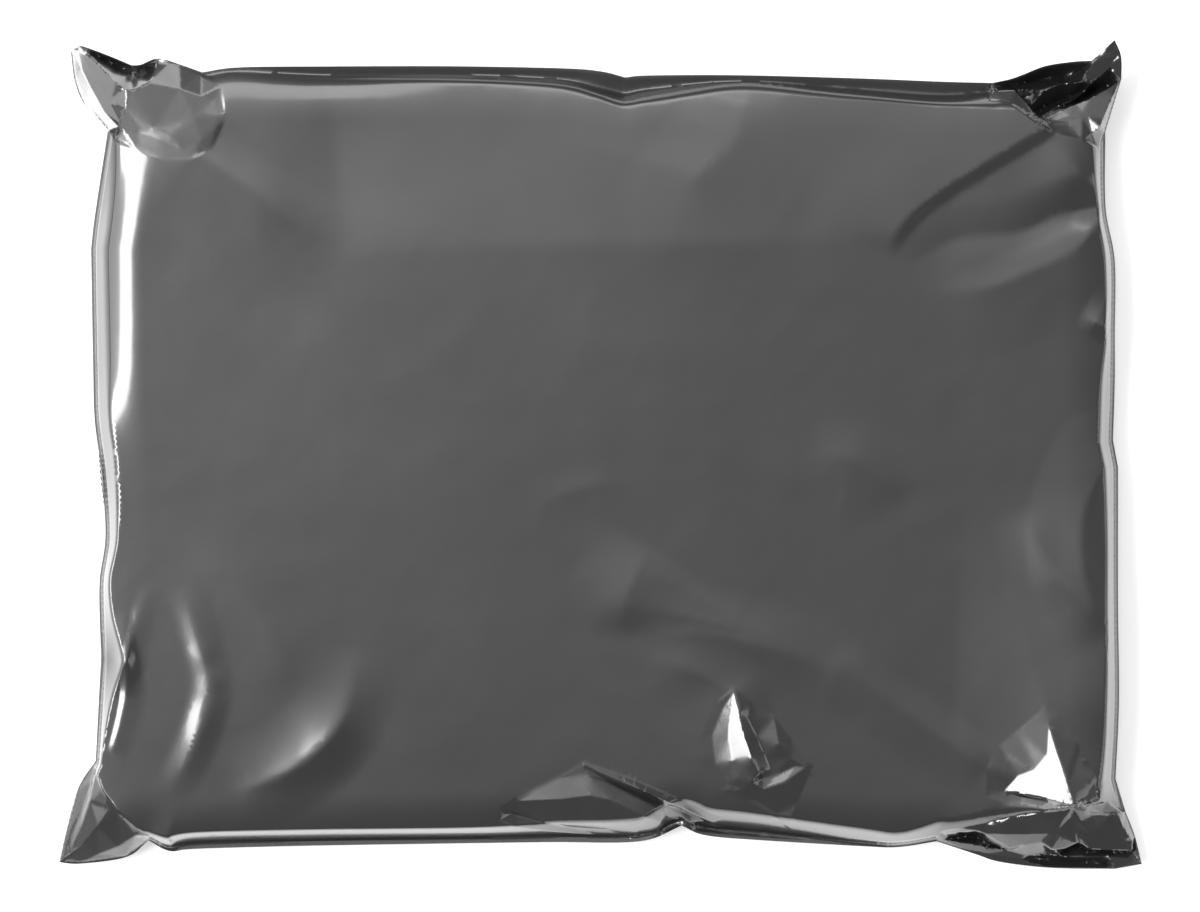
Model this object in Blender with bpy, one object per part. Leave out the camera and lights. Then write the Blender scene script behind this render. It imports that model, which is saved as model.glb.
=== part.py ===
"""Poly mailer bag, filled, sealed and lying on its back.

One film tube is folded at the left, heat sealed along both long edges and closed at the right by a flap
glued to the back, so the bag is one closed body. Its top film rises from the seam as a short wall, turns
over a rounded shoulder and lies on the soft contents in folds that run in from the corner ears.

Units are metres, +Z is up, and the origin is on the table under the middle of the bag. Plan places are
pixels of the photograph, which looks straight down, and LENGTH and WIDTH turn them into metres.
"""
import math

import bmesh
import bpy
import numpy as np
from mathutils.geometry import delaunay_2d_cdt

# Driving sizes
LENGTH = 0.400           # ear tip to ear tip along X
WIDTH = 0.305            # ear tip to ear tip along Y
THICKNESS = 0.027        # table to the crown of the top film
SHOULDER_DROP = 0.004    # how far the top film falls from the crown to the shoulders
STRIP_DIP = 0.0012       # how far the sealed strip falls from its cut edge to the foot of the wall
STRIP_SOFTNESS = 0.0012  # how softly the strip turns into the wall
SEAM_THICKNESS = 0.0008  # both films together at the sealed edge
UNDERSIDE_CLIMB = 1.3    # rise per run of the back film between the table and the seam
UNDERSIDE_ROUND = 0.0025  # how softly the back film leaves the table
FOLD_FADE = 0.003        # distance from the seam in which folds fade in
FULL_STRIP = 0.003       # width of the sealed strip at which it has the whole dip
LEAST_STRIP = 0.001      # narrower strips dip over this width
BLEND_WIDTH = 0.012      # distance from the seam over which its own values spread into each other
BLEND_CORE = 0.003       # distance at which a stretch of seam begins to lose its say in that spread
BLEND_POWER = 4          # how fast it loses it
MM = 0.001

# Mesh spacing
EDGE_CELL = 0.0042       # along the seam and on the creases
PANEL_CELL = 0.0068      # on the top film inside the rings
TOP_RINGS = [0.0012, 0.0028, 0.0046, 0.0068, 0.0094, 0.0126]  # distances from the seam of rings of points
UNDERSIDE_RINGS = [0.0022, 0.0048, 0.0078]
UNDERSIDE_FAR_RINGS = [0.0112, 0.0150, 0.0190]  # the last lies wholly on the table
FAR_RING_STRIDE = 3      # seam points for each point of the far rings
RING_HOLD = 0.9          # share of its distance that a ring's point keeps from every part of the seam
EDGE_GAP = 0.5           # least gap between points near the seam, in edge cells
PANEL_GAP = 0.45         # least gap between a grid point and the others, in panel cells
MERGE = 0.00005          # points closer than this are one
SHARP_ANGLE = 35         # degrees between faces from which an edge is shaded sharp

# Extent of the bag in the photograph, in pixels
PHOTO_LEFT, PHOTO_RIGHT = 56, 1144
PHOTO_TOP, PHOTO_BOTTOM = 41, 870

# The seam all round, from the upper left ear clockwise. Each stretch is smooth inside and has a corner
# at its ends. A point is: pixel x, pixel y, seam height in mm, climb of the wall (rise per run), softness
# of the shoulder in mm, width of the flat sealed strip in mm.
OUTLINE = [
    [(71, 51, 16, 0.3, 3, 0), (80, 46, 17, 0.2, 3, 0), (94, 50, 16, 0.2, 3, 0), (113, 57, 12, 0.2, 3, 0),
     (130, 64, 9, 0.3, 3, 0)],
    [(130, 64, 9, 0.3, 3, 0), (140, 64, 12, 0.3, 3, 0), (159, 59, 17, 0.3, 3, 0), (180, 65, 16, 0.5, 3, 0),
     (203, 73, 15, 0.6, 3, 1)],
    [(203, 73, 15, 0.6, 3, 1), (240, 68, 16, 0.6, 4, 1), (330, 67, 17, 0.9, 3, 3), (450, 67, 18, 1.0, 2, 3),
     (560, 69, 18, 1.0, 2, 4), (600, 72, 17, 1.0, 2, 6), (625, 78, 16, 1.0, 2, 6)],
    [(625, 78, 16, 1.0, 2, 6), (650, 76, 17, 1.0, 2, 5), (740, 76, 18, 1.0, 2, 2), (860, 79, 17, 1.2, 2, 4),
     (940, 82, 16, 1.4, 2, 5), (992, 83, 14, 1.4, 2, 3)],
    [(992, 83, 14, 1.4, 2, 3), (1010, 79, 14, 0.8, 2, 1), (1024, 74, 15, 0.4, 2, 0),
     (1045, 66, 16, 0.3, 2, 0), (1072, 62, 17, 0.2, 2, 0), (1091, 61, 17, 0.2, 2, 0)],
    [(1091, 61, 17, 0.2, 2, 0), (1113, 41, 21, 0.2, 2, 0)],
    [(1113, 41, 21, 0.2, 2, 0), (1120, 57, 19, 0.2, 2, 0), (1121, 79, 16, 0.3, 2, 0)],
    [(1121, 79, 16, 0.3, 2, 0), (1106, 131, 12, 1.0, 3, 0)],
    [(1106, 131, 12, 1.0, 3, 0), (1107, 206, 10, 2.6, 2, 0), (1117, 260, 9, 2.2, 3, 0),
     (1117, 333, 9, 2.4, 3, 0), (1115, 440, 9, 2.2, 3, 0)],
    [(1115, 440, 9, 2.2, 3, 0), (1120, 467, 8, 2.0, 3, 0)],
    [(1120, 467, 8, 2.0, 3, 0), (1120, 600, 9, 2.8, 3, 0), (1121, 700, 9, 2.4, 3, 0),
     (1117, 779, 10, 2.0, 2, 0)],
    [(1117, 779, 10, 2.0, 2, 0), (1127, 812, 9, 0.6, 2, 0)],
    [(1127, 812, 9, 0.6, 2, 0), (1137, 837, 7, 0.3, 2, 0), (1144, 865, 6, 0.2, 2, 0)],
    [(1144, 865, 6, 0.2, 2, 0), (1117, 870, 5, 0.3, 2, 0)],
    [(1117, 870, 5, 0.3, 2, 0), (1053, 869, 5, 0.4, 2, 0), (1002, 863, 5, 0.6, 2, 0),
     (977, 855, 6, 0.8, 2, 0), (938, 842, 7, 1.4, 2, 0)],
    [(938, 842, 7, 1.4, 2, 0), (899, 848, 8, 1.8, 2, 0), (862, 847, 8, 1.8, 2, 1), (760, 841, 8, 1.6, 2, 3),
     (706, 836, 8, 1.4, 2, 3), (682, 826, 10, 1.4, 2, 2)],
    [(682, 826, 10, 1.4, 2, 2), (640, 842, 8, 1.6, 2, 2), (553, 843, 8, 1.8, 2, 2), (474, 844, 8, 2.0, 2, 2),
     (300, 847, 8, 2.0, 3, 2), (193, 850, 8, 1.9, 3, 2), (168, 852, 8, 1.6, 3, 1), (147, 841, 9, 1.2, 3, 0)],
    [(147, 841, 9, 1.2, 3, 0), (124, 858, 7, 0.8, 3, 0), (78, 865, 4, 0.5, 3, 0), (56, 864, 3, 0.4, 3, 0)],
    [(56, 864, 3, 0.4, 3, 0), (62, 838, 4, 0.6, 3, 0), (76, 789, 7, 1.0, 3, 0), (94, 761, 9, 2.0, 2, 0)],
    [(94, 761, 9, 2.0, 2, 0), (99, 659, 9, 1.2, 2, 0), (97, 585, 9, 2.0, 2, 0), (103, 535, 9, 2.4, 3, 0),
     (96, 468, 9, 2.4, 5, 0), (90, 366, 9, 2.2, 7, 0), (88, 247, 9, 2.0, 8, 0)],
    [(88, 247, 9, 2.0, 8, 0), (92, 215, 9, 1.8, 7, 0), (108, 132, 12, 1.2, 4, 0)],
    [(108, 132, 12, 1.2, 4, 0), (85, 105, 14, 0.5, 3, 0), (75, 81, 15, 0.4, 3, 0), (71, 51, 16, 0.3, 3, 0)],
]

# Ridges (rise above 0) and valleys (below 0) of the top film. A fold is: its line as pixel x, pixel y and
# rise in mm, its reach in mm to the left and to the right of the line's direction, and its power: 1 has
# straight sides, 2 has a sharp crest and a soft foot.
FOLDS = {
    "upper left corner ridge": ([(196, 157, 2.0), (270, 205, 1.6), (351, 258, 0)], 16, 34, 1.5),
    "upper left valley": ([(335, 88, -2.4), (338, 180, -1.8), (351, 258, 0)], 70, 14, 1.5),
    "upper hinge": ([(351, 258, 1.6), (405, 259, 2.6), (457, 234, 3.0), (533, 235, 3.0), (740, 250, 3.0),
                     (830, 245, 3.0), (893, 228, 1.0)], 60, 110, 1),
    "upper dent, left arm": ([(505, 137, 0), (600, 148, 0.8), (696, 179, 1.2)], 22, 18, 1.5),
    "upper dent, right arm": ([(696, 179, 1.2), (737, 139, 1.5), (748, 95, 0.6)], 22, 9, 1.5),
    "upper right step": ([(1048, 127, 1.8), (939, 193, 1.4), (893, 262, 0)], 5, 36, 1.5),
    "upper right valley": ([(1100, 207, -2.0), (1015, 234, -1.2), (950, 240, -0.6), (893, 280, 0)],
                           14, 18, 1.5),
    "upper right ridge": ([(1100, 212, 2.0), (1074, 249, 1.5), (977, 288, 0.8), (900, 290, 0)], 8, 14, 1.5),
    "right edge ridge": ([(1102, 462, 0.6), (1082, 510, 1.8), (1078, 560, 1.8), (1088, 600, 1.2),
                          (1106, 637, 0)], 7, 18, 1.5),
    "lower right crest": ([(1070, 801, 3.6), (1046, 733, 3.2), (1025, 690, 1.6), (1010, 640, 0)], 20, 7, 1),
    "lower right arm": ([(1070, 801, 3.0), (997, 781, 2.6), (930, 730, 1.6), (835, 645, 0)], 14, 17, 1),
    "crumple crest": ([(734, 692, 0.3), (740, 740, 3.2), (748, 786, 2.4)], 6, 18, 1),
    "crumple foot": ([(748, 786, 2.4), (775, 787, 2.2), (803, 766, 0.6)], 7, 9, 1),
    "middle crease": ([(650, 548, 0), (628, 590, 1.0), (622, 640, 0.8), (670, 683, 0.8), (734, 692, 0.3)],
                      14, 22, 1.5),
    "lower left crest": ([(190, 598, 0.8), (212, 672, 3.0), (185, 760, 2.2), (165, 802, 0)], 9, 13, 1.2),
    "lower left arm": ([(226, 790, 0), (280, 770, 1.8), (325, 742, 3.6), (352, 690, 2.0), (358, 640, 0)],
                       20, 14, 1.2),
    "upper left ear root": ([(122, 131, -2.5), (150, 142, -3.0), (185, 152, -3.0), (200, 146, -1.0)],
                             7, 4, 1),
    "upper left ear ridge": ([(170, 72, 2.0), (180, 105, 3.0), (192, 145, 1.0)], 6, 6, 1),
    "upper right ear ridge": ([(1106, 58, 2.0), (1085, 83, 2.5), (1050, 98, 1.0)], 4, 4, 1),
    "lower right ear ridge": ([(1074, 806, 2.0), (1052, 835, 2.5)], 6, 5, 1),
    "lower left ear ridge": ([(92, 780, 1.5), (84, 822, 1.5), (72, 850, 0.5)], 4, 4, 1),
}

# Hollows with straight sides. A hollow is: its corners clockwise as pixels, the run in mm of the slope
# inside each side, starting with the side after the first corner, and its depth in mm.
HOLLOWS = {
    "upper left ear mouth": ([(88, 49), (157, 61), (153, 79), (130, 93)], [3, 3, 3, 5], 8),
    "upper right ear mouth": ([(1004, 86), (1045, 69), (1090, 63), (1083, 82), (1034, 92)],
                              [3, 3, 3, 3, 3], 9),
    "upper right ear fold": ([(1027, 105), (1085, 86), (1118, 80), (1040, 116)], [3, 3, 2, 3], 6),
    "lower edge tuck": ([(520, 799), (583, 763), (706, 814), (690, 835), (560, 832)], [8, 3, 3, 3, 6], 8),
    "lower right ear fold": ([(965, 833), (1000, 828), (1052, 842), (1050, 852), (1000, 850)],
                             [2, 2, 2, 2, 2], 4),
}


def to_plan(pixel_x, pixel_y):
    """Place in the photograph to place on the table."""
    x = (pixel_x - (PHOTO_LEFT + PHOTO_RIGHT) / 2) * LENGTH / (PHOTO_RIGHT - PHOTO_LEFT)
    y = ((PHOTO_TOP + PHOTO_BOTTOM) / 2 - pixel_y) * WIDTH / (PHOTO_BOTTOM - PHOTO_TOP)
    return x, y


def smooth_curve(points, cell):
    """Points about a cell apart on a Catmull-Rom curve through the given ones, without the last."""
    ends = [2 * points[0] - points[1], *points, 2 * points[-1] - points[-2]]
    out = []
    for before, start, end, after in zip(ends, ends[1:], ends[2:], ends[3:]):
        steps = max(1, round(float(np.hypot(*(end - start)[:2])) / cell))
        for step in range(steps):
            t = step / steps
            bend = (2 * before - 5 * start + 4 * end - after) + (3 * start - before - 3 * end + after) * t
            out.append(start + 0.5 * t * ((end - before) + bend * t))
    return out


def seam_line():
    """The seam as rows of x, y, height, climb, shoulder softness and strip width, anticlockwise."""
    rows = []
    for stretch in OUTLINE:
        points = [np.array([*to_plan(px, py), height * MM, climb, softness * MM, strip * MM])
                  for px, py, height, climb, softness, strip in stretch]
        rows += smooth_curve(points, EDGE_CELL)
    return np.array(rows[::-1])


def nearest_on_line(points, line):
    """For each point: distance to a polyline, signed side (left above 0), segment and share along it."""
    starts, ends = line[:-1, :2], line[1:, :2]
    runs = ends - starts
    offset = points[:, None, :] - starts[None]
    share = np.clip((offset * runs).sum(2) / (runs * runs).sum(1), 0, 1)
    gap = offset - share[..., None] * runs
    distance = np.hypot(gap[..., 0], gap[..., 1])
    nearest = distance.argmin(1)
    rows = np.arange(len(points))
    run, to_point = runs[nearest], offset[rows, nearest]
    side = run[:, 0] * to_point[:, 1] - run[:, 1] * to_point[:, 0]
    return distance[rows, nearest], side, nearest, share[rows, nearest]


def seam_fields(points, seam):
    """Distance to the seam, and a row of the seam's own values blended over each point."""
    loop = np.vstack([seam, seam[:1]])
    distance, _, nearest, share = nearest_on_line(points, loop)
    away = np.hypot(points[:, None, 0] - seam[None, :, 0], points[:, None, 1] - seam[None, :, 1])
    weight = 1 / (away + BLEND_CORE) ** BLEND_POWER
    values = (weight @ seam[:, 2:]) / weight.sum(1, keepdims=True)
    exact = loop[nearest, 2:] * (1 - share[:, None]) + loop[nearest + 1, 2:] * share[:, None]
    blend = np.clip(distance / BLEND_WIDTH, 0, 1)[:, None]
    blend = blend * blend * (3 - 2 * blend)
    return distance, (exact * (1 - blend) + values * blend).T


def fold_height(points, line, left, right, power):
    """Height that one fold adds."""
    rows = np.array([[*to_plan(px, py), rise * MM] for px, py, rise in line])
    distance, side, nearest, share = nearest_on_line(points, rows)
    rise = rows[nearest, 2] * (1 - share) + rows[nearest + 1, 2] * share
    reach = np.where(side > 0, left, right) * MM
    return rise * np.clip(1 - distance / reach, 0, 1) ** power


def hollow_depth(points, corners, runs, depth):
    """Depth of one hollow."""
    places = np.array([to_plan(px, py) for px, py in corners])
    share = np.ones(len(points))
    for start, end, run in zip(places, np.roll(places, -1, axis=0), runs):
        along = (end - start) / np.hypot(*(end - start))
        offset = points - start
        inside = offset[:, 0] * along[1] - offset[:, 1] * along[0]
        share = np.minimum(share, inside / (run * MM))
    return depth * MM * np.clip(share, 0, 1)


def rounded_min(a, b, softness):
    """The lower of two heights, with the corner between them rounded."""
    blend = np.clip(0.5 + 0.5 * (b - a) / softness, 0, 1)
    return b + (a - b) * blend - softness * blend * (1 - blend)


def underside_height(distance, seam_height):
    """Back film: flat on the table, rising to the seam near the edge."""
    slope = seam_height - SEAM_THICKNESS / 2 - UNDERSIDE_CLIMB * distance
    lifted = np.maximum(-rounded_min(-slope, np.zeros_like(slope), UNDERSIDE_ROUND), 0)
    at_seam = np.clip(1 - distance / UNDERSIDE_RINGS[0], 0, 1)
    return lifted * (1 - at_seam) + (seam_height - SEAM_THICKNESS / 2) * at_seam


def top_height(points, seam):
    """Top film: sealed strip, wall, shoulder and crown, with the folds and hollows on them."""
    distance, (seam_height, climb, softness, strip) = seam_fields(points, seam)
    across = points[:, 0] / (LENGTH / 2)
    along = points[:, 1] / (WIDTH / 2)
    crown = np.clip(1 - across ** 2, 0, 1) * np.clip(1 - along ** 2, 0, 1)
    film = THICKNESS - SHOULDER_DROP * (1 - crown)
    for line, left, right, power in FOLDS.values():
        film = film + fold_height(points, line, left, right, power)
    for corners, runs, depth in HOLLOWS.values():
        film = film - hollow_depth(points, corners, runs, depth)
    edge = seam_height + SEAM_THICKNESS / 2
    past_strip = -rounded_min(strip - distance, np.zeros_like(distance), STRIP_SOFTNESS)
    dip = STRIP_DIP * np.clip(strip / FULL_STRIP, 0, 1)
    dip = dip * np.clip(distance / np.maximum(strip, LEAST_STRIP), 0, 1)
    wall = edge - dip + climb * past_strip
    height = rounded_min(wall, film, softness)
    fade = np.clip(distance / FOLD_FADE, 0, 1)
    height = edge * (1 - fade) + height * fade
    floor = underside_height(distance, seam_height) + SEAM_THICKNESS
    return np.maximum(height, floor)


def hex_points(cell):
    """Points of a triangular grid over the bag's plan."""
    rise = cell * math.sqrt(3) / 2
    rows = []
    for row in range(int(WIDTH / rise) + 2):
        shift = cell / 2 * (row % 2)
        for column in range(int(LENGTH / cell) + 2):
            rows.append((-LENGTH / 2 + column * cell + shift, -WIDTH / 2 + row * rise))
    return np.array(rows)


def inside_loop(points, loop):
    """Which points lie inside a closed loop."""
    inside = np.zeros(len(points), bool)
    for (x0, y0), (x1, y1) in zip(loop, np.roll(loop, -1, axis=0)):
        crosses = (y0 > points[:, 1]) != (y1 > points[:, 1])
        if y0 != y1:
            at = x0 + (points[:, 1] - y0) * (x1 - x0) / (y1 - y0)
            inside ^= crosses & (points[:, 0] < at)
    return inside


def floor_corners(corners, runs):
    """Corners of the flat floor that a hollow's slopes leave."""
    places = np.array([to_plan(px, py) for px, py in corners])
    along = np.roll(places, -1, axis=0) - places
    along /= np.hypot(along[:, 0], along[:, 1])[:, None]
    inward = np.stack([along[:, 1], -along[:, 0]], axis=1)
    floor = []
    for index, place in enumerate(places):
        sides = np.array([inward[index - 1], inward[index]])
        steps = np.array([runs[index - 1], runs[index]]) * MM
        floor.append(place + np.linalg.solve(sides, steps))
    return places, floor


def crease_lines(seam):
    """The lines of the folds and hollows, cut where they come near the seam, with mesh edges on them."""
    lines = [[np.array(to_plan(px, py)) for px, py, _ in fold[0]] for fold in FOLDS.values()]
    for corners, runs, _ in HOLLOWS.values():
        rim, floor = floor_corners(corners, runs)
        lines += [[*rim, rim[0]], [*floor, floor[0]]]
        lines += [[top, bottom] for top, bottom in zip(rim, floor)]
    loop = np.vstack([seam[:, :2], seam[:1, :2]])
    points, edges = [], []
    for places in lines:
        fine = []
        for start, end in zip(places, places[1:]):
            steps = max(1, round(float(np.hypot(*(end - start))) / EDGE_CELL))
            fine += [start + (end - start) * step / steps for step in range(steps)]
        fine = np.array([*fine, places[-1]])
        clear = inside_loop(fine, seam[:, :2]) & (nearest_on_line(fine, loop)[0] > EDGE_GAP * EDGE_CELL)
        for index, keep in enumerate(clear):
            if keep and index and clear[index - 1]:
                edges.append((len(points) - 1, len(points)))
            if keep:
                points.append(fine[index])
    return np.array(points), edges


def clear_of(points, taken, gap):
    """Which points lie at least a gap away from the ones already taken."""
    if not len(taken):
        return np.ones(len(points), bool)
    away = np.hypot(points[:, None, 0] - taken[None, :, 0], points[:, None, 1] - taken[None, :, 1])
    return away.min(1) > gap


def ring_points(seam, distances, taken):
    """Rows of points that follow the seam at the given distances inside it, clear of the ones taken."""
    loop = np.vstack([seam[:, :2], seam[:1, :2]])
    along = np.roll(seam[:, :2], -1, axis=0) - np.roll(seam[:, :2], 1, axis=0)
    inward = np.stack([-along[:, 1], along[:, 0]], axis=1) / np.hypot(along[:, 0], along[:, 1])[:, None]
    for distance in distances:
        ring = seam[:, :2] + inward * distance
        ring = ring[inside_loop(ring, seam[:, :2])]
        ring = ring[nearest_on_line(ring, loop)[0] > RING_HOLD * distance]
        for point in ring:
            if clear_of(point[None], taken, EDGE_GAP * EDGE_CELL)[0]:
                taken = np.vstack([taken, point])
    return taken


def panel_points(seam, cell, nearest, taken):
    """Grid points at least the given distance inside the seam, clear of the ones taken."""
    points = hex_points(cell)
    points = points[inside_loop(points, seam[:, :2])]
    loop = np.vstack([seam[:, :2], seam[:1, :2]])
    points = points[nearest_on_line(points, loop)[0] > nearest]
    return np.vstack([taken, points[clear_of(points, taken, PANEL_GAP * cell)]])


def triangulate(seam, inner, edges):
    """Triangles inside the seam. The seam's points come first, in order."""
    count = len(seam)
    coordinates = [(float(x), float(y)) for x, y in [*seam[:, :2], *inner]]
    wanted = [(a + count, b + count) for a, b in edges]
    result = delaunay_2d_cdt(coordinates, wanted, [list(range(count))], 1, MERGE)
    places, _, triangles, originals = result[:4]
    rank = {}
    for index, sources in enumerate(originals):
        for source in sources:
            if source < count:
                rank[index] = source
    order = sorted(range(len(places)), key=lambda index: rank.get(index, count + index))
    new_index = {old: new for new, old in enumerate(order)}
    return (np.array([places[old][:] for old in order]),
            [tuple(new_index[corner] for corner in triangle) for triangle in triangles])


def film_material():
    """Glossy dark grey polythene."""
    material = bpy.data.materials.new("GREY_FILM")
    material.use_nodes = True
    shader = material.node_tree.nodes["Principled BSDF"]
    shader.inputs["Base Color"].default_value = (0.06, 0.06, 0.06, 1)
    shader.inputs["Roughness"].default_value = 0.3
    shader.inputs["Metallic"].default_value = 0
    return material


def mailer_bag():
    """The whole bag: top film, back film and the sealed edge between them."""
    seam = seam_line()
    creases, crease_edges = crease_lines(seam)
    inner = ring_points(seam, TOP_RINGS, creases)
    inner = panel_points(seam, PANEL_CELL, TOP_RINGS[-1] + PANEL_CELL / 2, inner)
    top_places, top_faces = triangulate(seam, inner, crease_edges)
    under = ring_points(seam, UNDERSIDE_RINGS, np.empty((0, 2)))
    under = ring_points(seam[::FAR_RING_STRIDE], UNDERSIDE_FAR_RINGS, under)
    back_places, back_faces = triangulate(seam, under, [])

    back_distance, back_values = seam_fields(back_places, seam)
    top_z = top_height(top_places, seam)
    back_z = underside_height(back_distance, back_values[0])

    bm = bmesh.new()
    top = [bm.verts.new((x, y, z)) for (x, y), z in zip(top_places, top_z)]
    back = [bm.verts.new((x, y, z)) for (x, y), z in zip(back_places, back_z)]
    for face in top_faces:
        bm.faces.new([top[corner] for corner in face])
    for face in back_faces:
        bm.faces.new([back[corner] for corner in reversed(face)])
    count = len(seam)
    for index in range(count):
        after = (index + 1) % count
        bm.faces.new([top[index], back[index], back[after], top[after]])
    bmesh.ops.triangulate(bm, faces=bm.faces[:])
    bmesh.ops.recalc_face_normals(bm, faces=bm.faces[:])

    mesh = bpy.data.meshes.new("mailer_bag")
    bm.to_mesh(mesh)
    bm.free()
    mesh.shade_smooth()
    mesh.set_sharp_from_angle(angle=math.radians(SHARP_ANGLE))
    mesh.materials.append(film_material())
    bag = bpy.data.objects.new("mailer_bag", mesh)
    bpy.context.scene.collection.objects.link(bag)
    return bag


def main():
    for old in list(bpy.data.objects):
        bpy.data.objects.remove(old, do_unlink=True)
    mailer_bag()


main()
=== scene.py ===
"""Filled poly mailer bag on a white table, seen from straight above.

The film starts as a copy of the CAD solid whose triangles are cut finer. Every point of it is then set to
the height that the sealed edge, the wall, the shoulder, the folds and the crumples give its place, so the
creases are real shape. Plan places are pixels of the photograph, which looks straight down.
"""
import math

import bmesh
import bpy
import numpy as np
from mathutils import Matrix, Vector, noise
from mathutils.geometry import delaunay_2d_cdt
from mathutils.kdtree import KDTree


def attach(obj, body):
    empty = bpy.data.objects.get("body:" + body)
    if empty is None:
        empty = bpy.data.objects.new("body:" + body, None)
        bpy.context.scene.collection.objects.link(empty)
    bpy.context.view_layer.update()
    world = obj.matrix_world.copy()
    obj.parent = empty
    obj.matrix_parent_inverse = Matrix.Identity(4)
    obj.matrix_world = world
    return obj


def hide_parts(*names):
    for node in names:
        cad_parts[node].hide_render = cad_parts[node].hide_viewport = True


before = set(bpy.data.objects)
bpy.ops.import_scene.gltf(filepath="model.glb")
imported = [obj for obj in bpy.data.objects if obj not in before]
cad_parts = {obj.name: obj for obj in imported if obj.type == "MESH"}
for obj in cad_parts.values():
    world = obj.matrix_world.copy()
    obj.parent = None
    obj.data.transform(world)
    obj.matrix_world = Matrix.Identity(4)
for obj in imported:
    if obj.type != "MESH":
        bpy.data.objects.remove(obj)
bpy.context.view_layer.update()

MM = 0.001

# Shape of the film, in metres
LENGTH = 0.400           # ear tip to ear tip along X
WIDTH = 0.305            # ear tip to ear tip along Y
THICKNESS = 0.027        # table to the crown of the top film, without its folds
SHOULDER_DROP = 0.004    # how far the top film falls from the crown to the shoulders
STRIP_DIP = 0.0012       # how far the sealed strip falls from its cut edge to the foot of the wall
STRIP_SOFTNESS = 0.0009  # how softly the strip turns into the wall
FULL_STRIP = 0.003       # width of the sealed strip at which it has the whole dip
LEAST_STRIP = 0.001      # narrower strips dip over this width
SEAM_THICKNESS = 0.0008  # both films together at the sealed edge
UNDERSIDE_CLIMB = 2.6    # rise per run of the back film between the table and the sealed edge
UNDERSIDE_ROUND = 0.0025  # how softly the back film leaves the table
UNDERSIDE_EDGE = 0.0022  # distance from the sealed edge in which the back film reaches its height
FOLD_FADE = 0.0024       # distance from the sealed edge in which folds fade in
FALL_WIDTH = 0.020       # width of the border in which the film falls towards the edge
CRUMPLE_FADE = 0.0010    # width inside a crumple's border in which its facets begin
DENT_FADE = 0.0008       # distance from the sealed edge in which dents begin
CREASE_BLUNT = 0.06      # how blunt the faint creases are, as a share of their wave
BLEND_WIDTH = 0.012      # distance from the sealed edge over which its own values spread into each other
BLEND_CORE = 0.003       # distance at which a stretch of edge begins to lose its say in that spread
BLEND_POWER = 4          # how fast it loses it
BLEND_STRIDE = 5         # points of the sealed edge for each one that has a say

# Mesh, with lengths in metres
SEAM_CELL = 0.0009       # spacing of the points that the sealed edge runs through
FOLD_CELL = 0.0025       # spacing of the points that the line of a fold runs through
FINE_CELL = 0.0014       # longest triangle edge near the sealed edge
PANEL_CELL = 0.0026      # longest triangle edge on the calm film
BACK_CELL = 0.0050       # longest triangle edge on the hidden back film
FINE_WIDTH = 0.012       # distance from the sealed edge in which the fine cells are used
CREASE_CELL = 0.0009     # longest triangle edge by the creases of crumples and dents
CREASE_WIDTH = 0.0010    # distance from a crease in which they are used
CUT_REACH = 0.0006       # how far from a crease the triangles are cut along it
CUT_ROUNDS = 5           # times that every long edge is halved
MERGE = 1e-5             # points closer than this are one
FACET_MERGE = MM / 50    # corners of facets closer than this are one
TINY_AREA = MM * MM * MM  # areas below this, in square metres, count as none
RIM_TILT = 0.02          # a face of the solid whose normal rises less belongs to the cut edge
SHARP_ANGLE = 40         # degrees between faces from which an edge is shaded sharp

# Extent of the bag in the photograph, in pixels
PHOTO_LEFT, PHOTO_RIGHT = 56, 1144
PHOTO_TOP, PHOTO_BOTTOM = 41, 870
PHOTO_WIDTH = 1200

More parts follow.
